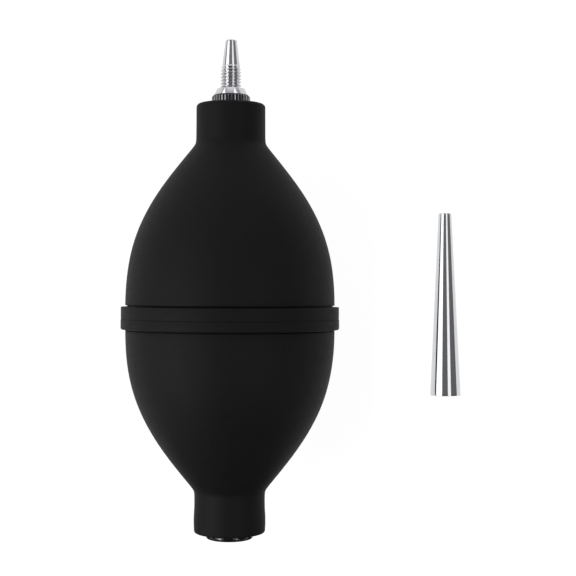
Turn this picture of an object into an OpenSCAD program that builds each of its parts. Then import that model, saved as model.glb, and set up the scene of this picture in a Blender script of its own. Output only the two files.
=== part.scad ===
// Dust blower: a two-part rubber bulb with a screw-in metal nozzle at one end, a one-way
// inlet valve at the other, and a spare long tip that screws over the nozzle.
//
// Every piece of the bulb is drawn along +Z, the axis of the bulb, with z = 0 at the middle
// of the band. lay_bulb() then lays it down on its band, with the nozzle towards +Y and the
// table at z = 0. The long tip is drawn along +Z from its base, and lay_tip() lays it on the
// table beside the bulb.

/* [Bulb] */
// Largest radius of the two domes
dome_r = 28.75; // [28.4:0.05:29.1]
// Distance from the middle of the band to where the curve of a dome would close
dome_reach = 65.7; // [64:0.1:68]
// How square the shoulder of a dome is
dome_power = 2.82; // [2.6:0.01:3]
// How quickly a dome draws in to its neck
dome_draw = 2.12; // [2:0.01:2.3]
// Thickness of the rubber in a dome
wall_t = 3; // [2.4:0.1:3.4]

/* [Band] */
// Radius of the bonded band round the middle, on which the bulb lies
band_r = 30; // [29.6:0.1:31]
// Height of the band above the middle
band_up = 3; // [2.5:0.1:4]
// Height of the band below the middle
band_down = 3.2; // [2.5:0.1:4]
// How far below the middle the two halves meet
parting_drop = 0.4; // [0:0.1:0.8]
// Width of the crease where a dome leaves the band
crease_w = 0.45; // [0.2:0.05:0.8]
// Depth of that crease
crease_d = 0.6; // [0.2:0.1:1]

/* [Necks] */
// Radius of the neck that holds the nozzle
nozzle_neck_r = 9.5; // [9:0.1:10.5]
// Distance from the middle of the band to the end of that neck
nozzle_neck_end = 58.8; // [57:0.1:62]
// Rounding of that neck's outer end
nozzle_neck_edge = 1; // [0.5:0.1:1.5]
// Radius of the neck that holds the valve
valve_neck_r = 9.7; // [9:0.1:10.5]
// Distance from the middle of the band to the end of that neck
valve_neck_end = 59; // [57:0.1:62]
// Rounding of that neck's outer end
valve_neck_edge = 0.6; // [0.5:0.1:1.5]
// How much the valve stretches its neck
valve_neck_swell = 0.2; // [0:0.05:0.4]
// Radius of the bore in both necks
neck_bore_r = 5.75; // [5.5:0.05:6]
// Radius of the mouth of both necks
neck_mouth_r = 4.95; // [4.8:0.05:5.2]

/* [Nozzle] */
// Height of the nozzle above the end of its neck
nozzle_h = 17.7; // [16:0.1:20]
// Radius of the nozzle at its rounded end
nozzle_end_r = 1.62; // [1.4:0.02:1.8]
// Radius of the outlet
outlet_r = 0.6; // [0.4:0.05:0.8]
// Radius of the knurled collar
collar_r = 5.3; // [5.2:0.1:6]
// Height of the knurled collar
collar_h = 2.4; // [2:0.1:3]
// Number of flutes round the collar
collar_flutes = 36; // [24:1:44]
// Radius over the thread that takes the long tip
thread_r = 2.9; // [2.8:0.02:3]
// Distance between two turns of that thread
thread_pitch = 0.9; // [0.8:0.05:1]
// Radius of the stem that screws into the bush
stem_r = 2.5; // [2.3:0.05:2.6]
// Length of that stem
stem_h = 6; // [5:0.5:7]
// Distance between two turns of the stem's thread
stem_pitch = 0.8; // [0.7:0.1:1]

/* [Long tip] */
// Length of the long tip
tip_h = 54; // [45:1:60]
// Radius of its wide end
tip_base_r = 4.5; // [4.2:0.1:5]
// Radius of its narrow end
tip_top_r = 1.9; // [1.7:0.1:2.4]
// Radius of its air channel
tip_channel_r = 1; // [0.6:0.1:1.2]
// Radius of its threaded socket, inside the thread
socket_r = 2.6; // [2.5:0.05:2.7]
// Distance from the axis of the bulb to the long tip
tip_aside = 62.4; // [45:0.2:80]
// How far behind the middle of the band the wide end lies
tip_behind = 23.2; // [0:0.2:40]

/* [Inlet valve] */
// Radius of the valve's visible flange
valve_flange_r = 6.6; // [6:0.1:7]
// Thickness of that flange
valve_flange_h = 1.7; // [1.5:0.1:2]
// Radius of the inlet hole
inlet_r = 1.7; // [1.4:0.1:1.8]
// Radius of the ball
ball_r = 2.25; // [2.1:0.05:2.4]
// Radius of the valve's inner chamber
chamber_r = 3.3; // [3.2:0.05:3.4]

/* [Hidden] */

$fn = 96;

rubber_black = [0.09, 0.09, 0.1];
seal_black = [0.15, 0.15, 0.15];
gloss_black = [0.05, 0.05, 0.06];
polished = [0.82, 0.83, 0.85];
turned = [0.7, 0.72, 0.75];
wire_grey = [0.55, 0.57, 0.6];

slip = 0.05;        // clearance between two pieces that move on each other
touch = 0.01;       // clearance between two pieces that only rest on each other
cut = 1;            // how far a cutting shape reaches past what it cuts

// Rubber shell
skin_step = 1;      // distance between two points of a dome's outline
slope_step = 0.01;  // distance over which a dome's slope is taken
inside_from = 2;    // height of the first point of a dome's inner outline
neck_blend = 0.5;   // softness of the corner between a dome and its neck
swell_from_end = 3.2;
swell_spread = 3;
band_edge = 0.3;    // chamfer of the band's outer edges
bond_notch = 0.12;  // chamfer where the two halves meet
lip_h = 1.5;        // depth of a neck's narrow mouth
arc_steps = 6;      // points of a rounded edge

// Barbed sleeves inside the necks
barrel_r = neck_mouth_r - slip;
barb_r = neck_bore_r - slip;
barb_pitch = 2.4;
barb_count = 3;
barb_start = 0.3;   // plain rim before the first barb
barb_land = 0.4;    // flat on a barb, and its height above the root
barbs_h = barb_start + barb_count * barb_pitch;

// Nozzle
seal_wire_r = 0.5;
seal_slack = 0.15;  // room inside and outside the seal
seal_r = stem_r + seal_wire_r + seal_slack;
seal_groove_r = seal_r + seal_wire_r + seal_slack;
bush_h = 10;
bush_bore_r = stem_r + slip;
flare_h = 1.8;
flare_low_r = 4.75;
flare_top_r = 3.85;
collar_edge = 0.5;
flute_r = 0.32;
flute_fn = 16;
seal_fn = 32;
thread_depth = 0.46;
stem_thread_depth = 0.35;
crest_w = 0.16;     // flat on top of a thread's ridge
ridge_rise = 0.16;  // how far the thread's ridges stand out of the nozzle's cone
thread_turns = 7;
thread_gap = 0.2;   // plain neck between the flare and the thread
stem_turns = 6;
nozzle_edge_r = 0.55;
nozzle_taper = 0.125;
nozzle_channel_r = 1;
nozzle_channel_top = 7;  // how far below the outlet the channel widens
channel_step = 0.4;      // height over which it widens

// Long tip
socket_h = 7;
socket_lead = 0.4;
tip_cone_h = 7;     // the narrowing above the socket, where the nozzle's point sits
tip_cone_r = 1.7;
tip_edge = 0.25;
tip_lean = atan((tip_base_r - tip_top_r) / (tip_h - 2 * tip_edge));  // its lean as it lies
tip_base_up = tip_base_r * cos(tip_lean) + tip_edge * sin(tip_lean);  // height of its base

// Valve, with heights measured inwards from the outer face of the flange
valve_h = 13;
valve_edge_r = 0.9;
screen_pocket_r = 4.2;
screen_pocket_h = 1.4;
screen_t = 0.25;
screen_ring_t = 0.6;
screen_ring_w = 0.8;
seat_floor = 3.1;
seat_t = 1;
ball_rest = seat_floor + seat_t + sqrt(pow(ball_r, 2) - pow(inlet_r, 2)) + touch;
retainer_from = 10.6;
retainer_t = 1.8;
retainer_hole_r = 1.2;
slot_w = 0.9;
slot_d = 0.7;
spring_wire_r = 0.16;
spring_r = 1.75;
spring_turns = 4.5;
spring_from = ball_rest + sqrt(pow(ball_r, 2) - pow(spring_r, 2)) + 2 * spring_wire_r;
spring_to = retainer_from - spring_wire_r - touch;
spring_steps = 20;  // rings in one turn of the spring
spring_sides = 8;

// ---- where things lie ----

module lay_bulb() {
    translate([0, 0, band_r]) rotate([-90, 0, 0]) children();
}

module lay_valve() {
    lay_bulb() translate([0, 0, -valve_neck_end - valve_flange_h]) children();
}

module lay_tip() {
    translate([tip_aside, -tip_behind, tip_base_up]) rotate([-90 - tip_lean, 0, 0]) children();
}

// ---- rubber shell ----

function dome_radius(z) = dome_r * pow(1 - pow(z / dome_reach, dome_power), dome_draw);

function soft_max(a, b, softness) = (a + b + sqrt(pow(a - b, 2) + pow(softness, 2))) / 2;

function neck_radius(z, neck_r, neck_end, swell) =
    neck_r + swell * exp(-pow((z - neck_end + swell_from_end) / swell_spread, 2));

function skin_radius(z, neck_r, neck_end, swell) =
    soft_max(dome_radius(z), neck_radius(z, neck_r, neck_end, swell), neck_blend);

function dome_slope(z) = (dome_radius(z + slope_step) - dome_radius(z)) / slope_step;

// The point that lies one wall thickness inside the dome's surface at height z
function inside_point(z) =
    let (slope = dome_slope(z), stretch = sqrt(1 + pow(slope, 2)))
    [dome_radius(z) - wall_t / stretch, z + wall_t * slope / stretch];

function edge_arc(r, centre) = [
    for (i = [0 : arc_steps]) let (a = 90 * i / arc_steps) centre + r * [cos(a), sin(a)]
];

function reversed(list) = [for (i = [len(list) - 1 : -1 : 0]) list[i]];

// One half of the bulb, from the face where it is bonded to the other half
module bulb_half(neck_r, neck_end, neck_edge, swell, bond_z, band_top) {
    crease_top = band_top + crease_w;
    skin = [
        for (z = [crease_top : skin_step : neck_end - neck_edge])
            [skin_radius(z, neck_r, neck_end, swell), z]
    ];
    last_r = neck_radius(neck_end - neck_edge, neck_r, neck_end, swell);
    edge = edge_arc(neck_edge, [last_r - neck_edge, neck_end - neck_edge]);
    inside = [
        for (z = [inside_from : skin_step : dome_reach - wall_t])
            if (inside_point(z)[0] > neck_bore_r + slip) inside_point(z)
    ];
    inside_end = inside[len(inside) - 1][1] + skin_step / 2;
    rotate_extrude() polygon(concat(
        [
            [dome_r - wall_t, bond_z],
            [band_r - bond_notch, bond_z],
            [band_r, bond_z + bond_notch],
            [band_r, band_top - band_edge],
            [band_r - band_edge, band_top],
            [dome_radius(band_top) - crease_d, band_top],
            [dome_radius(crease_top) - crease_d, crease_top]
        ],
        skin,
        edge,
        [
            [neck_mouth_r, neck_end],
            [neck_mouth_r, neck_end - lip_h],
            [neck_bore_r, neck_end - lip_h],
            [neck_bore_r, inside_end]
        ],
        reversed(inside)
    ));
}

module bulb_upper_half() {
    color(rubber_black) lay_bulb()
        bulb_half(nozzle_neck_r, nozzle_neck_end, nozzle_neck_edge, 0, -parting_drop, band_up);
}

module bulb_lower_half() {
    color(rubber_black) lay_bulb() mirror([0, 0, 1]) bulb_half(
        valve_neck_r, valve_neck_end, valve_neck_edge, valve_neck_swell, parting_drop, band_down
    );
}

// ---- turned metal ----

// Outline of the barbs on a sleeve, with z = 0 at its inner end
barb_points = [
    for (i = [0 : barb_count - 1])
        let (z = barb_start + i * barb_pitch)
        each [
            [barrel_r - barb_land, z],
            [barb_r, z + barb_pitch - barb_land],
            [barb_r, z + barb_pitch]
        ]
];

// Radius of the nozzle's cone
function cone_radius(z) = nozzle_end_r + nozzle_taper * (nozzle_h - nozzle_edge_r - z);

// Radius over a thread's ridges: the stem below the collar, then a cylinder that runs out
// a little outside the cone
function crest_radius(z) = z < 0 ? stem_r : min(thread_r, cone_radius(z) + ridge_rise);

// Ridges of a thread, one turn after another from a height upwards
function ridge_points(from_z, turns, pitch, root_r) = [
    for (i = [0 : turns - 1])
        let (z = from_z + i * pitch, low = z + (pitch - crest_w) / 2, high = low + crest_w)
        each [[root_r, z], [crest_radius(low), low], [crest_radius(high), high]]
];

module nozzle_bush() {
    groove_z = bush_h - 2 * seal_wire_r;
    color(turned) lay_bulb() translate([0, 0, nozzle_neck_end - bush_h])
        rotate_extrude() polygon(concat(
            [[bush_bore_r, 0]],
            barb_points,
            [
                [barrel_r, barbs_h],
                [barrel_r, bush_h],
                [seal_groove_r, bush_h],
                [seal_groove_r, groove_z],
                [bush_bore_r, groove_z]
            ]
        ));
}

module nozzle_o_ring() {
    color(seal_black) lay_bulb() translate([0, 0, nozzle_neck_end - seal_wire_r])
        rotate_extrude() translate([seal_r, 0]) circle(r = seal_wire_r, $fn = seal_fn);
}

// The nozzle, with z = 0 where its collar sits on the neck
module nozzle() {
    flare_z = collar_h + flare_h;
    thread_z = flare_z + thread_gap;
    thread_end = thread_z + thread_turns * thread_pitch;
    cone_top = nozzle_h - nozzle_edge_r;
    root_r = thread_r - thread_depth;
    stem_root_r = stem_r - stem_thread_depth;
    color(polished) lay_bulb() translate([0, 0, nozzle_neck_end]) difference() {
        rotate_extrude() polygon(concat(
            [[nozzle_channel_r, -stem_h], [stem_root_r, -stem_h]],
            ridge_points(-stem_h, stem_turns, stem_pitch, stem_root_r),
            [
                [stem_root_r, stem_turns * stem_pitch - stem_h],
                [stem_root_r, 0],
                [collar_r - collar_edge, 0],
                [collar_r, collar_edge],
                [collar_r, collar_h - collar_edge],
                [collar_r - collar_edge, collar_h],
                [flare_low_r, collar_h],
                [flare_top_r, flare_z],
                [root_r, flare_z]
            ],
            ridge_points(thread_z, thread_turns, thread_pitch, root_r),
            [[min(root_r, cone_radius(thread_end)), thread_end]],
            edge_arc(nozzle_edge_r, [nozzle_end_r - nozzle_edge_r, cone_top]),
            [
                [outlet_r, nozzle_h],
                [outlet_r, nozzle_h - nozzle_channel_top],
                [nozzle_channel_r, nozzle_h - nozzle_channel_top - channel_step]
            ]
        ));
        for (i = [0 : collar_flutes - 1])
            rotate([0, 0, 360 * i / collar_flutes])
                translate([collar_r, 0, -cut])
                    cylinder(r = flute_r, h = collar_h + 2 * cut, $fn = flute_fn);
    }
}

module long_tip() {
    cone_from = socket_h;
    cone_to = socket_h + tip_cone_h;
    color(polished) lay_tip() rotate_extrude() polygon([
        [socket_r + socket_lead, 0],
        [tip_base_r - tip_edge, 0],
        [tip_base_r, tip_edge],
        [tip_top_r, tip_h - tip_edge],
        [tip_top_r - tip_edge, tip_h],
        [tip_channel_r, tip_h],
        [tip_channel_r, cone_to],
        [tip_cone_r, cone_to],
        [socket_r, cone_from],
        [socket_r, socket_lead]
    ]);
}

// ---- inlet valve, drawn inwards from the outer face of its flange ----

module valve_body() {
    edge = edge_arc(valve_edge_r, [valve_flange_r - valve_edge_r, -valve_edge_r]);
    barbs = [for (p = barb_points) [p[0], valve_h - p[1]]];
    color(gloss_black) lay_valve() rotate_extrude() polygon(concat(
        [[screen_pocket_r, 0]],
        reversed([for (p = edge) [p[0], -p[1]]]),
        [
            [valve_flange_r, valve_flange_h],
            [barrel_r, valve_flange_h],
            [barrel_r, valve_h - barbs_h]
        ],
        reversed(barbs),
        [
            [chamber_r, valve_h],
            [chamber_r, seat_floor],
            [inlet_r, seat_floor],
            [inlet_r, screen_pocket_h],
            [screen_pocket_r, screen_pocket_h]
        ]
    ));
}

module valve_seat() {
    color(seal_black) lay_valve() translate([0, 0, seat_floor]) difference() {
        cylinder(r = chamber_r, h = seat_t);
        translate([0, 0, -cut]) cylinder(r = inlet_r, h = seat_t + 2 * cut);
    }
}

module valve_ball() {
    color(polished) lay_valve() translate([0, 0, ball_rest]) sphere(r = ball_r);
}

// A coil of wire, swept as rings of points along a helix
module valve_spring() {
    ring_count = spring_turns * spring_steps;
    centres = [
        for (i = [0 : ring_count])
            [360 * i / spring_steps, spring_from + (spring_to - spring_from) * i / ring_count]
    ];
    rings = [
        for (c = centres)
            for (j = [0 : spring_sides - 1])
                let (b = 360 * j / spring_sides, r = spring_r + spring_wire_r * cos(b))
                [r * cos(c[0]), r * sin(c[0]), c[1] + spring_wire_r * sin(b)]
    ];
    sides = [
        for (i = [0 : ring_count - 1])
            for (j = [0 : spring_sides - 1])
                let (a = i * spring_sides, k = (j + 1) % spring_sides)
                [a + j, a + spring_sides + j, a + spring_sides + k, a + k]
    ];
    first = [for (j = [0 : spring_sides - 1]) j];
    last = [for (j = [spring_sides - 1 : -1 : 0]) ring_count * spring_sides + j];
    color(wire_grey) lay_valve() polyhedron(points = rings, faces = concat(sides, [first, last]));
}

module spring_retainer() {
    color(turned) lay_valve() translate([0, 0, retainer_from]) difference() {
        cylinder(r = chamber_r, h = retainer_t);
        translate([0, 0, -cut]) cylinder(r = retainer_hole_r, h = retainer_t + 2 * cut);
        translate([-chamber_r - cut, -slot_w / 2, retainer_t - slot_d])
            cube([2 * (chamber_r + cut), slot_w, slot_d + cut]);
    }
}

module inlet_screen() {
    color(wire_grey) lay_valve() translate([0, 0, screen_pocket_h - screen_t])
        cylinder(r = screen_pocket_r, h = screen_t);
}

module screen_ring() {
    color(polished) lay_valve() translate([0, 0, screen_pocket_h - screen_t - screen_ring_t])
        difference() {
            cylinder(r = screen_pocket_r, h = screen_ring_t);
            translate([0, 0, -cut])
                cylinder(r = screen_pocket_r - screen_ring_w, h = screen_ring_t + 2 * cut);
            translate([0, -screen_ring_w / 2, -cut])
                cube([screen_pocket_r + cut, screen_ring_w, screen_ring_t + 2 * cut]);
        }
}

bulb_upper_half();
bulb_lower_half();
nozzle_bush();
nozzle_o_ring();
nozzle();
long_tip();
valve_body();
valve_seat();
valve_ball();
valve_spring();
spring_retainer();
inlet_screen();
screen_ring();
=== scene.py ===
import math

import bmesh
import bpy
from mathutils import Matrix, Vector, noise


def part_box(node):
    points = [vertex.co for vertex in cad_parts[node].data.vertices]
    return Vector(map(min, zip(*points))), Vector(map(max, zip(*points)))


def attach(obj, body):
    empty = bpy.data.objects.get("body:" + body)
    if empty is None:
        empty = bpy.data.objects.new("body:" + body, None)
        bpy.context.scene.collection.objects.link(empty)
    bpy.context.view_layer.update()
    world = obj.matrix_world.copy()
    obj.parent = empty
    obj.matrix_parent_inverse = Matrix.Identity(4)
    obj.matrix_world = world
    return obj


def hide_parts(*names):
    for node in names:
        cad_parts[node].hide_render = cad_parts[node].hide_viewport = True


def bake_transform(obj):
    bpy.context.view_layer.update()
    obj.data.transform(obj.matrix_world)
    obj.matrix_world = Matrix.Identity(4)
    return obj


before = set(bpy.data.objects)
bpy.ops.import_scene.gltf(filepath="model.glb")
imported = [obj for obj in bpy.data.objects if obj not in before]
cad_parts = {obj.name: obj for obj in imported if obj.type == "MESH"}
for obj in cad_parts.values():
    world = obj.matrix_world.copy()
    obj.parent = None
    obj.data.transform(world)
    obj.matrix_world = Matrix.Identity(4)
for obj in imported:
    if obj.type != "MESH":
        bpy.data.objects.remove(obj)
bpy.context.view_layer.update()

# A dust blower bulb with its nozzle, its inlet valve and a spare long tip. The bulb lies on the
# table, z = 0, along the Y axis, with its nozzle towards +Y, and is widest at y = 0.

# ---- sizes, in metres ----
# Endings of names: _r radius, _h height along the axis, _w width, _d depth, _t thickness.

MM = 0.001
FULL_TURN = 2 * math.pi


def box_size(node):
    """Width, length and height of a CAD node."""
    low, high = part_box(node)
    return high - low


band_r = box_size("bulb_upper_half").x / 2
axis_z = band_r
nozzle_neck_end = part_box("bulb_upper_half")[1].y
valve_neck_end = -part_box("bulb_lower_half")[0].y
nozzle_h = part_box("nozzle")[1].y - nozzle_neck_end
stem_h = nozzle_neck_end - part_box("nozzle")[0].y
collar_r = box_size("nozzle").x / 2
valve_flange_r = box_size("valve_body").x / 2
valve_face_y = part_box("valve_body")[0].y
valve_h = box_size("valve_body").y
bush_h = box_size("nozzle_bush").y
seal_wire_r = box_size("nozzle_o_ring").y / 2
ball_r = box_size("valve_ball").x / 2
tip_base_r = box_size("long_tip").x / 2
tip_x = (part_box("long_tip")[0].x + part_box("long_tip")[1].x) / 2

# Rubber shell
dome_r = 28.75 * MM
dome_reach = 65.7 * MM  # where the bare dome would close
dome_power = 2.82
dome_draw = 2.12
wall_t = 3 * MM
band_up = 3 * MM  # how far the band reaches from y = 0 towards the nozzle
band_down = 3.2 * MM
parting_drop = 0.4 * MM  # how far the parting line lies from y = 0 towards the valve
crease_w = {"nozzle": 0.42 * MM, "valve": 0.28 * MM}
crease_d = {"nozzle": 0.55 * MM, "valve": 0.4 * MM}
band_edge_r = {"nozzle": 0.15 * MM, "valve": 0.45 * MM}
parting_step = 0.07 * MM  # how much smaller in radius the upper half's band is
bond_edge_r = 0.14 * MM
crease_edge_r = 0.1 * MM
neck_r = {"nozzle": 9.5 * MM, "valve": 9.7 * MM}
neck_blend = 0.5 * MM  # how softly a dome runs into its neck
neck_bore_r = 5.75 * MM
neck_mouth_r = 4.95 * MM
neck_edge_r = {"nozzle": 1 * MM, "valve": 0.6 * MM}
neck_lip_h = 1.5 * MM
mouth_edge = 0.2 * MM
swell = 0.2 * MM  # of the valve's neck, over the valve's barbs
swell_from_end = 3.2 * MM
swell_spread = 3 * MM
slip = 0.05 * MM  # clearance between a sleeve and its neck, or a stem and its bore

# Nozzle, measured from where its collar sits on the neck
collar_h = 2.4 * MM
collar_bevel = 0.5 * MM
collar_inner_r = 2.3 * MM
flare_top = 4.2 * MM
flare_low_r = 4.75 * MM
flare_top_r = 3.85 * MM
flute_count = 36
flute_r = 0.32 * MM
thread_r = 2.9 * MM
thread_root_r = 2.44 * MM
thread_pitch = 0.9 * MM
thread_from = 4.4 * MM
thread_to = 10.7 * MM
thread_runs = (0.2 * MM, 0.5 * MM)  # over which a thread fades in and out
thread_root_share = 0.1  # of half a turn, and so is the flank's share
thread_flank_share = 0.76
ridge_rise = 0.16 * MM  # how far the ridges stand out of the cone
stem_top = -2 * seal_wire_r
stem_r = 2.5 * MM
stem_root_r = 2.15 * MM
stem_pitch = 0.8 * MM
stem_runs = (0.4 * MM, 0.3 * MM)
nozzle_end_r = 1.62 * MM
nozzle_edge_r = 0.55 * MM
nozzle_taper = 0.125
outlet_r = 0.6 * MM
outlet_edge = 0.12 * MM
outlet_h = 7 * MM
channel_step = 0.4 * MM
channel_r = 1 * MM

# Long tip, measured from its wide end
tip_h = 54 * MM
tip_top_r = 1.9 * MM
tip_edge = 0.25 * MM
socket_r = 2.6 * MM
socket_thread_r = 2.97 * MM
socket_h = 7 * MM
socket_lead = 0.4 * MM
socket_thread_from = 0.5 * MM
socket_thread_to = socket_h - 0.8 * MM
socket_runs = (0.3 * MM, 0.3 * MM)
tip_cone_r = 1.7 * MM
tip_cone_to = 14 * MM

# Valve, measured inwards from the outer face of its flange
valve_flange_h = -valve_neck_end - valve_face_y
valve_edge_r = 0.9 * MM
pocket_r = 4.2 * MM
pocket_h = 1.4 * MM
chamber_r = 3.3 * MM
inlet_r = 1.7 * MM
seat_floor = 3.1 * MM
seat_t = 1 * MM
screen_t = 0.25 * MM
ring_t = 0.6 * MM
ring_w = 0.8 * MM

# Barbed sleeves
barrel_r = neck_mouth_r - slip
barb_r = neck_bore_r - slip
barb_pitch = 2.4 * MM
barb_flat = 0.4 * MM
barb_count = 3
barb_margin = 0.3 * MM
barb_edge_r = 0.06 * MM

# Segments in a full turn
bulb_segments = 192
valve_segments = 160
metal_segments = 128
flute_segments = 14  # in each flute of the collar
small_segments = 96
ball_segments = 64
edge_steps = 8  # in the rounded end of a neck or of the nozzle


# ---- meshes ----

def arc(centre, radius, start, end, steps):
    """Points of a circle's arc from angle start to angle end, in degrees."""
    points = []
    for i in range(steps + 1):
        a = math.radians(start + (end - start) * i / steps)
        points.append((centre[0] + radius * math.cos(a), centre[1] + radius * math.sin(a)))
    return points


def rounded(corners, steps=4):
    """A closed outline from (x, y, rounding) corners, with an arc at each rounded corner."""
    share = 0.49  # of an edge, so that two roundings never meet
    points = []
    count = len(corners)
    for i, (x, y, size) in enumerate(corners):
        here = Vector((x, y))
        if size == 0:
            points.append((x, y))
            continue
        before = Vector(corners[i - 1][:2]) - here
        after = Vector(corners[(i + 1) % count][:2]) - here
        half = before.angle(after) / 2
        reach = min(size / math.tan(half), before.length * share, after.length * share)
        inwards = (before.normalized() + after.normalized()).normalized()
        centre = here + inwards * reach / math.cos(half)
        start = here + before.normalized() * reach - centre
        end = here + after.normalized() * reach - centre
        for k in range(steps + 1):
            spot = centre + start.slerp(end, k / steps) * start.length
            points.append((spot.x, spot.y))
    return points


def mesh_object(name, verts, faces, place=Matrix.Identity(4), sharp=35):
    """A smooth-shaded mesh whose edges over the sharp angle, in degrees, stay crisp."""
    crisp = math.radians(sharp)
    same_spot = 1e-7
    no_length = 1e-8
    mesh = bpy.data.meshes.new(name)
    mesh.from_pydata(verts, [], faces)
    work = bmesh.new()
    work.from_mesh(mesh)
    bmesh.ops.remove_doubles(work, verts=work.verts, dist=same_spot)
    bmesh.ops.dissolve_degenerate(work, edges=work.edges, dist=no_length)
    bmesh.ops.recalc_face_normals(work, faces=work.faces)
    work.transform(place)
    for face in work.faces:
        face.smooth = True
    for edge in work.edges:
        edge.smooth = len(edge.link_faces) == 2 and edge.calc_face_angle(0) < crisp
    work.to_mesh(mesh)
    work.free()
    obj = bpy.data.objects.new(name, mesh)
    bpy.context.scene.collection.objects.link(obj)
    return obj


def turned(outline, segments, shape=None):
    """Vertices and faces of a closed (radius, height) outline turned round the Y axis.

    Angles run right-handed about +Y. shape(angle, radius, height) returns a new radius.
    """
    verts = []
    faces = []
    count = len(outline)
    for i in range(segments):
        angle = FULL_TURN * i / segments
        for radius, height in outline:
            r = shape(angle, radius, height) if shape else radius
            verts.append((r * math.sin(angle), height, r * math.cos(angle)))
    for i in range(segments):
        here = i * count
        there = (i + 1) % segments * count
        for j in range(count):
            k = (j + 1) % count
            faces.append((here + j, here + k, there + k, there + j))
    return verts, faces


def joined(*parts):
    """Several (vertices, faces) pairs as one pair."""
    verts = []
    faces = []
    for more_verts, more_faces in parts:
        base = len(verts)
        verts.extend(more_verts)
        faces.extend(tuple(base + i for i in face) for face in more_faces)
    return verts, faces


def tube(centres, radius, sides):
    """Vertices and faces of a round wire swept along centres, with flat ends."""
    verts = []
    faces = []
    points = [Vector(c) for c in centres]
    last = len(points) - 1
    side = None
    for i, here in enumerate(points):
        along = (points[min(i + 1, last)] - points[max(i - 1, 0)]).normalized()
        if side is None:
            side = along.orthogonal()
        side = (side - along * side.dot(along)).normalized()
        up = along.cross(side)
        for j in range(sides):
            a = FULL_TURN * j / sides
            verts.append(here + radius * (math.cos(a) * side + math.sin(a) * up))
    for i in range(last):
        here = i * sides
        there = here + sides
        for j in range(sides):
            k = (j + 1) % sides
            faces.append((here + j, here + k, there + k, there + j))
    faces.append(tuple(range(sides)))
    faces.append(tuple(last * sides + j for j in reversed(range(sides))))
    return verts, faces


def spread(start, end, step):
    """Evenly spaced values from start to end, both included, at most step apart."""
    count = max(1, math.ceil(abs(end - start) / step))
    return [start + (end - start) * i / count for i in range(count + 1)]


def on_axis(height=0.0):
    """Places a piece on the bulb's axis, with its own zero at that height."""
    return Matrix.Translation((0, height, axis_z))


def inwards_from_valve():
    """Places a piece of the valve, which is drawn inwards from the valve's outer face."""
    return on_axis(valve_face_y)


# ---- rubber bulb ----

def dome_radius(h):
    """Radius of the dome alone, which would close to a point at dome_reach."""
    return dome_r * (1 - (h / dome_reach) ** dome_power) ** dome_draw


def skin_radius(h, end, neck):
    """Radius of the bulb's skin at distance h from y = 0, without its band."""
    plain = neck_r[neck]
    if neck == "valve":
        plain += swell * math.exp(-((h - end + swell_from_end) / swell_spread) ** 2)
    dome = dome_radius(h)
    return (dome + plain + math.sqrt((dome - plain) ** 2 + neck_blend ** 2)) / 2


def inside_point(h):
    """The point one wall thickness inside the dome's skin at h."""
    step = 0.01 * MM
    slope = (dome_radius(h + step) - dome_radius(h)) / step
    stretch = math.sqrt(1 + slope * slope)
    return dome_radius(h) - wall_t / stretch, h + wall_t * slope / stretch


def half_outline(end, neck, bond, band_top):
    """Outline of one half of the bulb, from its bonding face to its neck and back inside."""
    crease_top = band_top + crease_w[neck]
    crease_r = dome_radius(band_top) - crease_d[neck]
    plain_from = crease_top + MM
    skin_step = MM / 2
    rim_r = band_r - parting_step if neck == "nozzle" else band_r
    *band, wall = rounded([
        (rim_r, bond, bond_edge_r),
        (rim_r, band_top, band_edge_r[neck]),
        (crease_r, band_top, crease_edge_r),
        (crease_r, crease_top, crease_edge_r),
        (dome_radius(crease_top), crease_top, crease_edge_r),
        (dome_radius(plain_from), plain_from, 0),
        (dome_r - wall_t, bond, 0),
    ])
    edge_r = neck_edge_r[neck]
    skin = [
        (skin_radius(h, end, neck), h)
        for h in spread(plain_from + skin_step, end - edge_r, skin_step)
    ]
    edge = arc((skin[-1][0] - edge_r, end - edge_r), edge_r, 0, 90, edge_steps)[1:]
    inside = [inside_point(h) for h in spread(2 * MM, dome_reach - wall_t, MM)]
    inside = [p for p in inside if p[0] > neck_bore_r + slip]
    mouth = [
        (neck_mouth_r + mouth_edge, end),
        (neck_mouth_r, end - mouth_edge),
        (neck_mouth_r, end - neck_lip_h),
        (neck_bore_r, end - neck_lip_h),
        (neck_bore_r, inside[-1][1] + MM / 2),
    ]
    return band + skin + edge + mouth + inside[::-1] + [wall]


def moulded(seed):
    """A very slight unevenness of the rubber's skin, different for each seed."""
    wave = 14 * MM
    depth = 0.06 * MM

    def shape(angle, radius, height):
        spot = Vector((radius * math.sin(angle), height, radius * math.cos(angle))) / wave
        return radius + depth * noise.noise(spot + Vector((seed, 0, 0))) - depth / 2

    return shape


def bulb_half(name, end, neck, bond, band_top, seed, flip):
    """One half of the bulb, turned over if flip is true."""
    outline = half_outline(end, neck, bond, band_top)
    if flip:
        outline = [(r, -h) for r, h in outline]
    verts, faces = turned(outline, bulb_segments, moulded(seed))
    return mesh_object(name, verts, faces, on_axis(), sharp=50)


# ---- turned metal ----

def ease(value, start, width):
    """0 before start, 1 after start + width."""
    return min(max((value - start) / width, 0), 1)


def ridge(phase):
    """Height of a thread at a phase from 0 to 1: a root, two flanks and a rounded crest."""
    rise = ease(1 - abs(2 * phase - 1), thread_root_share, thread_flank_share)
    return rise * rise * (3 - 2 * rise)


def helix_phase(angle, height, start, pitch):
    """Phase of a right-handed thread, which climbs one pitch for each turn."""
    return ((height - start) / pitch - angle / FULL_TURN) % 1


def thread_run(height, low, high, runs):
    """Share of a thread's depth at a height between low and high: less near either end."""
    return ease(height, low, runs[0]) * ease(-height, -high, runs[1])


def cone_radius(height):
    """Radius of the nozzle's cone."""
    return nozzle_end_r + nozzle_taper * (nozzle_h - nozzle_edge_r - height)


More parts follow.
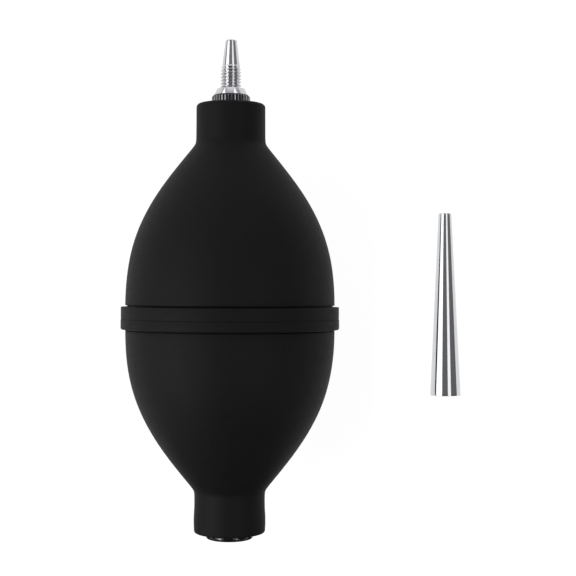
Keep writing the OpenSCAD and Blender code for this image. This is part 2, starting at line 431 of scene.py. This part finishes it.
def nozzle_shape(angle, radius, height):
    """Cuts the nozzle's two threads, and leaves its channel as it is."""
    if radius <= channel_r:
        return radius
    if thread_from <= height <= thread_to:
        crest = min(thread_r, cone_radius(height) + ridge_rise)
        root = min(thread_root_r, cone_radius(height))
        run = thread_run(height, thread_from, thread_to, thread_runs)
        phase = helix_phase(angle, height, thread_from, thread_pitch)
        return root + (crest - root) * ridge(phase) * run
    if height <= stem_top:
        run = thread_run(height, -stem_h, stem_top, stem_runs)
        phase = helix_phase(angle, height, -stem_h, stem_pitch)
        return stem_root_r + (stem_r - stem_root_r) * ridge(phase) * run
    return radius


def nozzle_outline():
    """Outline of the nozzle without its collar, from its stem outwards and back inside."""
    step = thread_pitch / 20
    hair = 0.01 * MM  # keeps two stretches of the outline apart
    inside_collar = 0.3 * MM
    stem = [(stem_root_r, h) for h in spread(-stem_h, stem_top, stem_pitch / 16)]
    shoulder = rounded([
        (stem_root_r, stem_top + hair, 0),
        (stem_root_r, inside_collar, 0),
        (flare_low_r, inside_collar, 0),
        (flare_low_r, collar_h - 2 * hair, 0),
        (flare_low_r, collar_h, 0.05 * MM),
        (flare_top_r, flare_top, 0.12 * MM),
        (thread_root_r, flare_top, 0.1 * MM),
        (thread_root_r, thread_from - hair, 0),
    ])
    thread = [(thread_root_r, h) for h in spread(thread_from, thread_to, step)]
    cone_top = nozzle_h - nozzle_edge_r
    cone = [(cone_radius(h), h) for h in spread(thread_to + 5 * hair, cone_top, 0.8 * MM)]
    end = arc((nozzle_end_r - nozzle_edge_r, cone_top), nozzle_edge_r, 0, 90, edge_steps)[1:]
    channel = [
        (outlet_r + outlet_edge, nozzle_h),
        (outlet_r, nozzle_h - outlet_edge),
        (outlet_r, nozzle_h - outlet_h),
        (channel_r, nozzle_h - outlet_h - channel_step),
        (channel_r, -stem_h),
    ]
    return stem + shoulder + thread + cone + end + channel


def flute(angle, radius, height):
    """Round-bottomed flutes cut straight along the collar."""
    pitch = FULL_TURN / flute_count
    aside = ((angle / pitch + 0.5) % 1 - 0.5) * pitch * collar_r
    if abs(aside) >= flute_r:
        return radius
    return min(radius, collar_r - math.sqrt(flute_r ** 2 - aside ** 2))


def make_nozzle():
    """The nozzle: its turned body, and the knurled collar round it."""
    bevel = spread(0, collar_bevel, 0.08 * MM)
    bevel_r = collar_r - collar_bevel
    collar = [(collar_inner_r, 0)]
    collar += [(bevel_r + b, b) for b in bevel]
    collar += [(bevel_r + b, collar_h - b) for b in reversed(bevel)]
    collar += [(collar_inner_r, collar_h)]
    verts, faces = joined(
        turned(nozzle_outline(), metal_segments, nozzle_shape),
        turned(collar, flute_count * flute_segments, flute),
    )
    return mesh_object("nozzle_turned", verts, faces, on_axis(nozzle_neck_end))


def socket_shape(angle, radius, height):
    """The thread inside the long tip's socket, cut outwards from its wall."""
    if radius > socket_r:
        return radius
    run = thread_run(height, socket_thread_from, socket_thread_to, socket_runs)
    phase = helix_phase(angle, height, 0, thread_pitch)
    return radius + (socket_thread_r - socket_r) * ridge(phase) * run


def tip_side(height):
    """A point of the long tip's straight side, as an unrounded corner."""
    return tip_base_r + (tip_top_r - tip_base_r) * height / tip_h, height, 0


def make_long_tip():
    """The long tip, lying on the table with its wide end towards the valve's side."""
    lean = math.atan((tip_base_r - tip_top_r) / (tip_h - 2 * tip_edge))
    base_up = tip_base_r * math.cos(lean) + tip_edge * math.sin(lean)
    base_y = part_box("long_tip")[0].y
    outside = rounded([
        (socket_r + socket_lead, 0, 0),
        (tip_base_r, 0, 0.2 * MM),
        tip_side(MM),
        tip_side(tip_h - MM),
        (tip_top_r, tip_h, 0.3 * MM),
        (channel_r, tip_h, 0.12 * MM),
        (channel_r, tip_cone_to, 0),
        (tip_cone_r, tip_cone_to, 0),
    ])
    socket = [(socket_r, h) for h in spread(socket_h, socket_lead, thread_pitch / 18)]
    verts, faces = turned(outside + socket, metal_segments, socket_shape)
    place = Matrix.Translation((tip_x, base_y, base_up)) @ Matrix.Rotation(-lean, 4, "X")
    return mesh_object("long_tip_turned", verts, faces, place)


def barbs():
    """Barbs of a sleeve, from its inner end outwards, sharp towards the neck's mouth."""
    points = []
    for i in range(barb_count):
        base = barb_margin + i * barb_pitch
        points.append((barrel_r - barb_flat, base))
        points.append((barb_r, base + barb_pitch - barb_flat))
        points.append((barb_r, base + barb_pitch))
    points.append((barrel_r, barb_margin + barb_count * barb_pitch))
    return points


def make_bush():
    """The barbed sleeve that the nozzle screws into, with the seal's groove at its outer end."""
    bore_r = stem_r + slip
    groove_r = stem_r + 2 * seal_wire_r + 0.3 * MM
    groove_floor = bush_h - 2 * seal_wire_r
    corners = [(bore_r, 0, 0)]
    corners += [(r, h, barb_edge_r) for r, h in barbs()]
    corners += [
        (barrel_r, bush_h, 0.12 * MM),
        (groove_r, bush_h, 0.08 * MM),
        (groove_r, groove_floor, 0.05 * MM),
        (bore_r, groove_floor, 0.1 * MM),
    ]
    verts, faces = turned(rounded(corners), small_segments)
    return mesh_object("bush_turned", verts, faces, on_axis(nozzle_neck_end - bush_h))


def make_o_ring():
    """The rubber seal under the nozzle's collar."""
    centre_r = box_size("nozzle_o_ring").x / 2 - seal_wire_r
    section = arc((centre_r, 0), seal_wire_r, 0, 360, 24)[:-1]
    verts, faces = turned(section, small_segments)
    return mesh_object("o_ring_moulded", verts, faces, on_axis(nozzle_neck_end - seal_wire_r))


# ---- inlet valve ----

def make_valve_body():
    """The valve's barbed body, with the flange, the gauze's pocket, the inlet and the chamber."""
    corners = [
        (pocket_r, 0, 0.1 * MM),
        (valve_flange_r, 0, valve_edge_r),
        (valve_flange_r, valve_flange_h, 0.1 * MM),
        (barrel_r, valve_flange_h, 0.05 * MM),
    ]
    corners += [(r, valve_h - h, barb_edge_r) for r, h in reversed(barbs())]
    corners += [
        (chamber_r, valve_h, 0.1 * MM),
        (chamber_r, seat_floor, 0),
        (inlet_r, seat_floor, 0.1 * MM),
        (inlet_r, pocket_h, 0.15 * MM),
        (pocket_r, pocket_h, 0),
    ]
    verts, faces = turned(rounded(corners, steps=6), valve_segments)
    return mesh_object("valve_body_turned", verts, faces, inwards_from_valve())


def make_valve_seat():
    """The rubber washer that the ball closes on."""
    section = rounded([
        (chamber_r, seat_floor, 0.1 * MM),
        (chamber_r, seat_floor + seat_t, 0.1 * MM),
        (inlet_r, seat_floor + seat_t, 0.05 * MM),
        (inlet_r, seat_floor, 0.1 * MM),
    ])
    verts, faces = turned(section, small_segments)
    return mesh_object("valve_seat_moulded", verts, faces, inwards_from_valve())


def make_ball():
    """The valve's steel ball."""
    centre = (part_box("valve_ball")[0].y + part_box("valve_ball")[1].y) / 2
    verts, faces = turned(arc((0, 0), ball_r, -90, 90, ball_segments // 2), ball_segments)
    return mesh_object("valve_ball_ground", verts, faces, on_axis(centre))


def make_spring():
    """A compression spring whose end coils lie a little closer together."""
    low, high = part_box("valve_spring")
    wire_r = 0.16 * MM
    coil_r = 1.75 * MM
    turns = 4.5
    steps = 180
    closeness = 0.06
    start = low.y + wire_r
    rise = high.y - low.y - 2 * wire_r
    centres = []
    for i in range(steps + 1):
        t = i / steps
        a = t * turns * FULL_TURN
        climb = t - closeness * math.sin(FULL_TURN * t) / FULL_TURN
        centres.append((coil_r * math.sin(a), start + rise * climb, axis_z + coil_r * math.cos(a)))
    verts, faces = tube(centres, wire_r, sides=10)
    return mesh_object("valve_spring_wound", verts, faces)


def make_retainer():
    """The plug behind the spring, with its slot cut by a boolean."""
    low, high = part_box("spring_retainer")
    start = low.y - valve_face_y
    end = high.y - valve_face_y
    hole_r = 1.2 * MM
    section = rounded([
        (hole_r, start, 0.08 * MM),
        (chamber_r, start, 0.12 * MM),
        (chamber_r, end, 0.12 * MM),
        (hole_r, end, 0.08 * MM),
    ])
    verts, faces = turned(section, small_segments)
    plug = mesh_object("spring_retainer_slotted", verts, faces, inwards_from_valve())
    slot_w = 0.9 * MM
    slot_d = 0.7 * MM
    cutter_length = 3 * chamber_r
    cutter_mesh = bpy.data.meshes.new("slot_cutter")
    work = bmesh.new()
    bmesh.ops.create_cube(work, size=1)
    work.transform(on_axis(high.y) @ Matrix.Diagonal((cutter_length, slot_d * 2, slot_w, 1)))
    work.to_mesh(cutter_mesh)
    work.free()
    cutter = bpy.data.objects.new("slot_cutter", cutter_mesh)
    bpy.context.scene.collection.objects.link(cutter)
    cut = plug.modifiers.new("slot", "BOOLEAN")
    cut.operation = "DIFFERENCE"
    cut.object = cutter
    bpy.context.view_layer.update()
    evaluated = plug.evaluated_get(bpy.context.evaluated_depsgraph_get())
    plug.data = bpy.data.meshes.new_from_object(evaluated)
    plug.modifiers.clear()
    bpy.data.objects.remove(cutter)
    return plug


def make_gauze():
    """Plain woven wire gauze, held in a crimped rim that the split ring hides."""
    pitch = 0.46 * MM
    wire_r = 0.06 * MM
    wave = 0.062 * MM
    rim_w = 0.75 * MM
    rim_in = pocket_r - rim_w
    tuck = 0.12 * MM  # how far a wire runs into the rim
    middle = pocket_h - screen_t / 2
    parts = []
    count = int(rim_in / pitch) + 1
    for i in range(-count, count + 1):
        offset = i * pitch
        if abs(offset) >= rim_in:
            continue
        reach = math.sqrt(rim_in ** 2 - offset ** 2) + tuck
        for across in (False, True):
            sign = 1 if (i % 2 == 0) == across else -1
            centres = []
            for s in spread(-reach, reach, pitch / 5):
                lift = middle + sign * wave * math.cos(math.pi * s / pitch)
                centres.append((s, lift, offset) if across else (offset, lift, s))
            parts.append(tube(centres, wire_r, sides=6))
    rim = rounded([
        (rim_in, pocket_h - screen_t, 0.05 * MM),
        (pocket_r, pocket_h - screen_t, 0.05 * MM),
        (pocket_r, pocket_h, 0.05 * MM),
        (rim_in, pocket_h, 0.05 * MM),
    ])
    parts.append(turned(rim, small_segments))
    verts, faces = joined(*parts)
    return mesh_object("inlet_screen_woven", verts, faces, inwards_from_valve())


def make_split_ring():
    """The split ring that springs into the pocket and holds the gauze."""
    outer = pocket_r
    inner = pocket_r - ring_w
    low = pocket_h - screen_t - ring_t
    edge_r = 0.14 * MM
    section = rounded([
        (inner, low, edge_r),
        (outer, low, edge_r),
        (outer, low + ring_t, edge_r),
        (inner, low + ring_t, edge_r),
    ])
    gap = math.asin(ring_w / 2 / outer)  # half the split's angle
    steps = 120
    verts = []
    faces = []
    count = len(section)
    for i in range(steps + 1):
        a = FULL_TURN / 4 + gap + (FULL_TURN - 2 * gap) * i / steps
        for radius, height in section:
            verts.append((radius * math.sin(a), height, radius * math.cos(a)))
    for i in range(steps):
        for j in range(count):
            k = (j + 1) % count
            here = i * count
            there = here + count
            faces.append((here + j, here + k, there + k, there + j))
    faces.append(tuple(range(count)))
    faces.append(tuple(steps * count + j for j in reversed(range(count))))
    return mesh_object("screen_ring_split", verts, faces, inwards_from_valve())


# ---- materials ----

def grey(level):
    """A grey as red, green and blue."""
    return (level, level, level)


class Shader:
    """A material's node tree, with short calls for the nodes that the finishes share."""

    def __init__(self, name):
        self.material = bpy.data.materials.new(name)
        self.material.use_nodes = True
        self.nodes = self.material.node_tree.nodes
        self.links = self.material.node_tree.links
        self.surface = self.nodes["Principled BSDF"]
        self.place = self.nodes.new("ShaderNodeTexCoord").outputs["Object"]

    def noise(self, size, detail=4, roughness=0.55, stretch=(1, 1, 1)):
        """Noise whose features are about size metres across."""
        mapping = self.nodes.new("ShaderNodeMapping")
        mapping.inputs["Scale"].default_value = stretch
        texture = self.nodes.new("ShaderNodeTexNoise")
        texture.inputs["Scale"].default_value = 1 / size
        texture.inputs["Detail"].default_value = detail
        texture.inputs["Roughness"].default_value = roughness
        self.links.new(self.place, mapping.inputs["Vector"])
        self.links.new(mapping.outputs[0], texture.inputs["Vector"])
        return texture.outputs["Fac"]

    def spots(self, size, share):
        """1 inside sparse specks about size metres apart, 0 elsewhere."""
        texture = self.nodes.new("ShaderNodeTexVoronoi")
        texture.inputs["Scale"].default_value = 1 / size
        self.links.new(self.place, texture.inputs["Vector"])
        core = 0.6 * share
        return self.ramp(texture.outputs["Distance"], share, core, 0, 1)

    def from_axis(self):
        """Distance from the bulb's axis."""
        mapping = self.nodes.new("ShaderNodeMapping")
        mapping.inputs["Location"].default_value = (0, 0, -axis_z)
        mapping.inputs["Scale"].default_value = (1, 0, 1)
        length = self.nodes.new("ShaderNodeVectorMath")
        length.operation = "LENGTH"
        self.links.new(self.place, mapping.inputs["Vector"])
        self.links.new(mapping.outputs[0], length.inputs[0])
        return length.outputs["Value"]

    def ramp(self, source, low, high, to_low, to_high):
        """Maps a value from low..high to to_low..to_high."""
        node = self.nodes.new("ShaderNodeMapRange")
        node.inputs["From Min"].default_value = low
        node.inputs["From Max"].default_value = high
        node.inputs["To Min"].default_value = to_low
        node.inputs["To Max"].default_value = to_high
        self.links.new(source, node.inputs["Value"])
        return node.outputs["Result"]

    def mix(self, factor, first, second):
        """A colour between first and second, which are colours or sockets."""
        node = self.nodes.new("ShaderNodeMix")
        node.data_type = "RGBA"
        self.links.new(factor, node.inputs["Factor"])
        sockets = [s for s in node.inputs if s.type == "RGBA"]
        for socket, value in zip(sockets, (first, second)):
            if isinstance(value, tuple):
                socket.default_value = (*value, 1)
            else:
                self.links.new(value, socket)
        return [s for s in node.outputs if s.type == "RGBA"][0]

    def bump(self, height, depth, strength=1, under=None):
        """Raises the surface by up to depth metres, on top of another bump if given."""
        node = self.nodes.new("ShaderNodeBump")
        node.inputs["Strength"].default_value = strength
        node.inputs["Distance"].default_value = depth
        self.links.new(height, node.inputs["Height"])
        if under is not None:
            self.links.new(under, node.inputs["Normal"])
        return node.outputs["Normal"]

    def set(self, **values):
        """Sets the surface's inputs, each to a value or a socket, and returns the material."""
        for name, value in values.items():
            socket = self.surface.inputs[name.replace("_", " ").title().replace("Ior", "IOR")]
            if isinstance(value, bpy.types.NodeSocket):
                self.links.new(value, socket)
            else:
                socket.default_value = (*value, 1) if isinstance(value, tuple) else value
        return self.material


def moulded_rubber():
    """Matt black moulded rubber, with a fine grain, faint cloudy bloom and a few specks of dust."""
    black = (0.0028, 0.0028, 0.003)
    bloomed = (0.0044, 0.0044, 0.0048)
    worn = (0.008, 0.008, 0.0085)
    shader = Shader("moulded_rubber")
    bloom = shader.noise(16 * MM, detail=3)
    grain = shader.noise(0.22 * MM, detail=2)
    mottle = shader.noise(1.6 * MM, detail=5, roughness=0.65)
    dust = shader.spots(5 * MM, share=0.018)
    colour = shader.mix(bloom, black, bloomed)
    colour = shader.mix(shader.ramp(mottle, 0.35, 0.7, 0, 0.35), colour, worn)
    colour = shader.mix(dust, colour, grey(0.04))
    normal = shader.bump(mottle, 0.03 * MM, strength=0.5)
    normal = shader.bump(grain, 0.012 * MM, strength=0.6, under=normal)
    return shader.set(
        base_color=colour,
        roughness=shader.ramp(mottle, 0.3, 0.75, 0.6, 0.72),
        specular_ior_level=0.11,
        normal=normal,
    )


def seal_rubber():
    """Smooth black rubber of the O-ring and the valve's seat."""
    shader = Shader("seal_rubber")
    cloud = shader.noise(0.8 * MM)
    return shader.set(
        base_color=shader.mix(cloud, grey(0.012), grey(0.024)),
        roughness=shader.ramp(cloud, 0.3, 0.7, 0.35, 0.5),
        normal=shader.bump(shader.noise(0.1 * MM), 0.004 * MM, strength=0.5),
    )


def turned_metal(name, bright, stained, rough, ring_depth):
    """Bright turned metal: fine rings round the axis, faint stains and rubbed patches."""
    rubbed = 0.75 * rough
    dulled = 1.4 * rough
    shader = Shader(name)
    rings = shader.noise(0.12 * MM, detail=2, stretch=(0.02, 1, 0.02))
    stains = shader.noise(3 * MM, detail=5, roughness=0.6)
    return shader.set(
        base_color=shader.mix(shader.ramp(stains, 0.35, 0.75, 0, 1), bright, stained),
        metallic=1.0,
        roughness=shader.ramp(stains, 0.3, 0.75, rubbed, dulled),
        normal=shader.bump(rings, ring_depth, strength=0.35),
    )


def wire_metal():
    """Drawn steel wire, with light scratches."""
    dull = (0.5, 0.5, 0.52)
    bright = (0.66, 0.67, 0.69)
    shader = Shader("wire_metal")
    scratches = shader.noise(0.08 * MM, detail=3)
    return shader.set(
        base_color=shader.mix(scratches, dull, bright),
        metallic=1.0,
        roughness=shader.ramp(scratches, 0.3, 0.7, 0.22, 0.38),
        normal=shader.bump(scratches, 0.004 * MM, strength=0.4),
    )


def knurled_metal():
    """The collar's plating: dull and scuffed on its crests, with painted shade that blackens its
    flutes.
    """
    flute_shade = (0.03, 0.03, 0.032)
    scuffed = (0.26, 0.26, 0.27)
    bright = (0.4, 0.4, 0.41)
    flute_shade_r = collar_r - flute_r / 2
    crest_r = collar_r - 0.02 * MM
    shader = Shader("knurled_metal")
    scuffs = shader.noise(0.25 * MM, detail=4, roughness=0.65)
    away = shader.from_axis()
    plating = shader.mix(scuffs, scuffed, bright)
    # Painted shade: the colour darkens from the crests to the bottoms of the flutes.
    crest = shader.ramp(away, flute_shade_r, crest_r, 0, 1)
    return shader.set(
        base_color=shader.mix(crest, flute_shade, plating),
        metallic=1.0,
        roughness=shader.ramp(scuffs, 0.3, 0.7, 0.2, 0.32),
        normal=shader.bump(scuffs, 0.01 * MM, strength=0.4),
    )


def gloss_plastic():
    """Glossy black plastic of the valve, with faint flow marks and handling scratches."""
    black = (0.004, 0.004, 0.0045)
    paler = (0.007, 0.007, 0.0075)
    shader = Shader("gloss_plastic")
    flow = shader.noise(2.5 * MM, detail=3)
    scratches = shader.noise(0.15 * MM, detail=3, stretch=(1, 0.1, 1))
    return shader.set(
        base_color=shader.mix(flow, black, paler),
        roughness=shader.ramp(flow, 0.3, 0.7, 0.09, 0.15),
        specular_ior_level=0.5,
        normal=shader.bump(scratches, 0.002 * MM, strength=0.3),
    )


def floor_paper():
    """Pale paper that glows a little, so that the shadows on it stay faint."""
    shader = Shader("floor_paper")
    fibre = shader.noise(0.9 * MM, detail=4)
    return shader.set(
        base_color=shader.mix(fibre, grey(0.13), grey(0.16)),
        roughness=0.9,
        specular_ior_level=0.1,
        emission_color=grey(1.0),
        emission_strength=0.93,
    )


def black_felt():
    """Dull black felt with a short nap."""
    shader = Shader("black_felt")
    nap = shader.noise(0.6 * MM, detail=3)
    return shader.set(
        base_color=shader.mix(nap, grey(0.01), grey(0.02)),
        roughness=0.95,
        specular_ior_level=0.1,
        normal=shader.bump(nap, 0.2 * MM),
    )


# ---- the pieces and what each rides on ----

rubber_pieces = ("bulb_upper_moulded", "bulb_lower_moulded")


def finish_piece(obj, material, node, body=None):
    """Gives a piece its material, the node it replaces and the body it rides on.

    A piece without a body rides on none.
    """
    obj.data.materials.append(material)
    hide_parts(node)
    if body:
        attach(obj, body)
    return obj


def finish_collar(nozzle, material):
    """Gives the knurled collar a finish of its own."""
    nozzle.data.materials.append(material)
    for face in nozzle.data.polygons:
        x, y, z = face.center
        height = y - nozzle_neck_end
        outside = math.hypot(x, z - axis_z) > flare_low_r
        face.material_index = int(outside and 0 < height < collar_h)


def build_object():
    """Makes every piece of the blower."""
    rubber = moulded_rubber()
    seal = seal_rubber()
    chrome = turned_metal(
        "chrome_plate",
        bright=(0.64, 0.645, 0.655),
        stained=(0.59, 0.595, 0.605),
        rough=0.08,
        ring_depth=0.002 * MM,
    )
    plated = turned_metal(
        "plated_brass",
        bright=(0.61, 0.61, 0.62),
        stained=(0.55, 0.55, 0.56),
        rough=0.1,
        ring_depth=0.003 * MM,
    )
    satin = turned_metal(
        "turned_aluminium",
        bright=(0.78, 0.78, 0.79),
        stained=(0.66, 0.66, 0.67),
        rough=0.25,
        ring_depth=0.01 * MM,
    )
    ball_steel = turned_metal(
        "ground_steel",
        bright=(0.72, 0.73, 0.75),
        stained=(0.66, 0.67, 0.69),
        rough=0.06,
        ring_depth=0.001 * MM,
    )
    wire = wire_metal()

    upper_name, lower_name = rubber_pieces
    upper = bulb_half(
        upper_name, nozzle_neck_end, "nozzle", -parting_drop, band_up, seed=0, flip=False
    )
    finish_piece(upper, rubber, "bulb_upper_half")
    lower = bulb_half(
        lower_name, valve_neck_end, "valve", parting_drop, band_down, seed=7, flip=True
    )
    finish_piece(lower, rubber, "bulb_lower_half")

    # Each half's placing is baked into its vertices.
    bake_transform(upper)
    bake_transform(lower)

    finish_piece(make_bush(), satin, "nozzle_bush", "nozzle_end")
    finish_piece(make_o_ring(), seal, "nozzle_o_ring", "nozzle_seal")
    nozzle = finish_piece(make_nozzle(), plated, "nozzle", "nozzle")
    finish_collar(nozzle, knurled_metal())
    finish_piece(make_long_tip(), chrome, "long_tip", "long_tip")

    finish_piece(make_valve_body(), gloss_plastic(), "valve_body", "valve_end")
    finish_piece(make_valve_seat(), seal, "valve_seat", "valve_end")
    finish_piece(make_ball(), ball_steel, "valve_ball", "ball")
    finish_piece(make_retainer(), satin, "spring_retainer", "valve_end")
    finish_piece(make_gauze(), wire, "inlet_screen", "valve_end")
    finish_piece(make_split_ring(), wire, "screen_ring", "valve_end")
    spring = finish_piece(make_spring(), wire, "valve_spring")
    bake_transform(spring)


# ---- floor, light and camera ----

floor_reach = 6.0
flag_half_w = 0.11
flag_gap = 12 * MM  # between the valve's face and the flag
flag_length = 1.4
flag_height = MM
softbox_distance = 0.62
card_gap = 17 * MM  # between the long tip and its card
card_height = 20 * MM
room_tint = 1.05  # how much bluer than grey the room is
camera_place = (15.88 * MM, 8.24 * MM, axis_z + 358 * MM)
camera_turn = math.radians(0.2)


def sheet(name, low, high, height, material):
    """A level rectangle between two (x, y) corners."""
    corners = [
        (low[0], low[1], height),
        (high[0], low[1], height),
        (high[0], high[1], height),
        (low[0], high[1], height),
    ]
    obj = mesh_object(name, corners, [(0, 1, 2, 3)])
    obj.data.materials.append(material)
    return obj


def add_floor():
    """The table's pale paper, which reaches past every view."""
    low = (-floor_reach, -floor_reach)
    high = (floor_reach, floor_reach)
    sheet("floor", low, high, 0, floor_paper())


def add_flag():
    """A black flag on the table beyond the valve, which only reflections see."""
    near = valve_face_y - flag_gap
    low = (-flag_half_w, near - flag_length)
    high = (flag_half_w, near)
    flag = sheet("flag", low, high, flag_height, black_felt())
    flag.visible_camera = False
    flag.visible_diffuse = False
    flag.visible_shadow = False


def add_panel(name, place, away, width, length, strength):
    """Hangs a glowing panel at place, with its back towards away and its length level.

    Its strength is its brightness, whatever its size.
    """
    light = bpy.data.lights.new(name, "AREA")
    light.shape = "RECTANGLE"
    light.size = width
    light.size_y = length
    light.energy = strength * width * length * math.pi
    lamp = bpy.data.objects.new(name, light)
    lamp.location = place
    lamp.rotation_euler = away.to_track_quat("Z", "X").to_euler()
    lamp.visible_camera = False
    bpy.context.scene.collection.objects.link(lamp)
    return lamp


def add_softbox(name, towards, width, length, strength):
    """Hangs a soft box in the direction towards, facing the bulb."""
    direction = Vector(towards).normalized()
    return add_panel(name, softbox_distance * direction, direction, width, length, strength)


def link_lamps(lamps, state):
    """Makes the lamps light only the rubber (INCLUDE), or everything but the rubber (EXCLUDE)."""
    for lamp in lamps:
        group = bpy.data.collections.new(lamp.name + "_rubber")
        for name in rubber_pieces:
            group.objects.link(bpy.data.objects[name])
        for member in group.collection_objects:
            member.light_linking.link_state = state
        lamp.light_linking.receiver_collection = group


def add_tip_card():
    """A small glowing card that hides the black bulb from the long tip's mirror finish."""
    low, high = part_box("long_tip")
    place = Vector((low.x - card_gap, (low.y + high.y) / 2, card_height))
    away = Vector((-1, 0, 0))
    add_panel("tip_card", place, away, width=19 * MM, length=90 * MM, strength=1.7)


def add_world():
    """A dim grey room, bright behind the nozzle and dark behind the valve.

    Only the background that the camera sees directly is pale.
    """
    # Place from the valve's side to the nozzle's, and brightness there
    stops = [(0.1, 0.004), (0.38, 0.13), (0.6, 0.18), (0.8, 0.34), (0.92, 0.52), (1.0, 1.5)]
    world = bpy.data.worlds.new("room")
    world.use_nodes = True
    nodes = world.node_tree.nodes
    links = world.node_tree.links
    place = nodes.new("ShaderNodeTexCoord")
    axes = nodes.new("ShaderNodeSeparateXYZ")
    links.new(place.outputs["Generated"], axes.inputs[0])
    shade = nodes.new("ShaderNodeValToRGB")
    reach = nodes.new("ShaderNodeMapRange")
    reach.inputs["From Min"].default_value = -1
    links.new(axes.outputs["Y"], reach.inputs["Value"])
    links.new(reach.outputs["Result"], shade.inputs["Fac"])
    elements = shade.color_ramp.elements
    while len(elements) < len(stops):
        elements.new(0.5)
    for element, (where, level) in zip(elements, stops):
        element.position = where
        element.color = (level, level, level * room_tint, 1)
    room = nodes["Background"]
    links.new(shade.outputs["Color"], room.inputs["Color"])
    pale = nodes.new("ShaderNodeBackground")
    pale.inputs["Color"].default_value = (*grey(0.9), 1)
    path = nodes.new("ShaderNodeLightPath")
    chosen = nodes.new("ShaderNodeMixShader")
    links.new(path.outputs["Is Camera Ray"], chosen.inputs[0])
    links.new(room.outputs[0], chosen.inputs[1])
    links.new(pale.outputs[0], chosen.inputs[2])
    links.new(chosen.outputs[0], nodes["World Output"].inputs["Surface"])
    bpy.context.scene.world = world


def add_camera():
    """Straight above the table, a little to the right of the bulb's axis."""
    camera = bpy.data.cameras.new("camera")
    camera.sensor_width = 36
    camera.lens = 81.25
    camera.clip_start = 0.01
    holder = bpy.data.objects.new("camera", camera)
    holder.location = camera_place
    holder.rotation_euler = (0, 0, camera_turn)
    bpy.context.scene.collection.objects.link(holder)
    bpy.context.scene.camera = holder


def light_and_camera():
    """Lights the table and hangs the camera over it.

    Two lamps give the valve and the metal their highlights, and two others the rubber.
    """
    add_floor()
    add_flag()
    add_softbox("softbox_left", (-0.737, 0, 0.676), width=0.464, length=0.75, strength=1.75)
    add_softbox("softbox_right", (0.492, 0, 0.87), width=0.245, length=0.75, strength=1.25)
    hard_lamps = (
        add_softbox("lamp_left", (-0.62, -0.48, 0.62), width=0.16, length=0.2, strength=9),
        add_softbox("lamp_right", (0.57, -0.48, 0.7), width=0.12, length=0.16, strength=5),
    )
    link_lamps(hard_lamps, "EXCLUDE")
    rubber_lamps = (
        add_softbox("rubber_left", (-0.748, -0.31, 0.587), width=0.2, length=0.2, strength=13),
        add_softbox("rubber_right", (0.555, -0.27, 0.785), width=0.16, length=0.16, strength=8),
    )
    link_lamps(rubber_lamps, "INCLUDE")
    add_softbox("rim_left", (-0.566, 0.759, 0.322), width=0.2, length=0.2, strength=1.5)
    add_softbox("rim_right", (0.398, 0.79, 0.466), width=0.2, length=0.2, strength=1.3)
    add_tip_card()
    add_world()
    add_camera()
    bpy.context.scene.view_settings.view_transform = "Standard"


build_object()
light_and_camera()
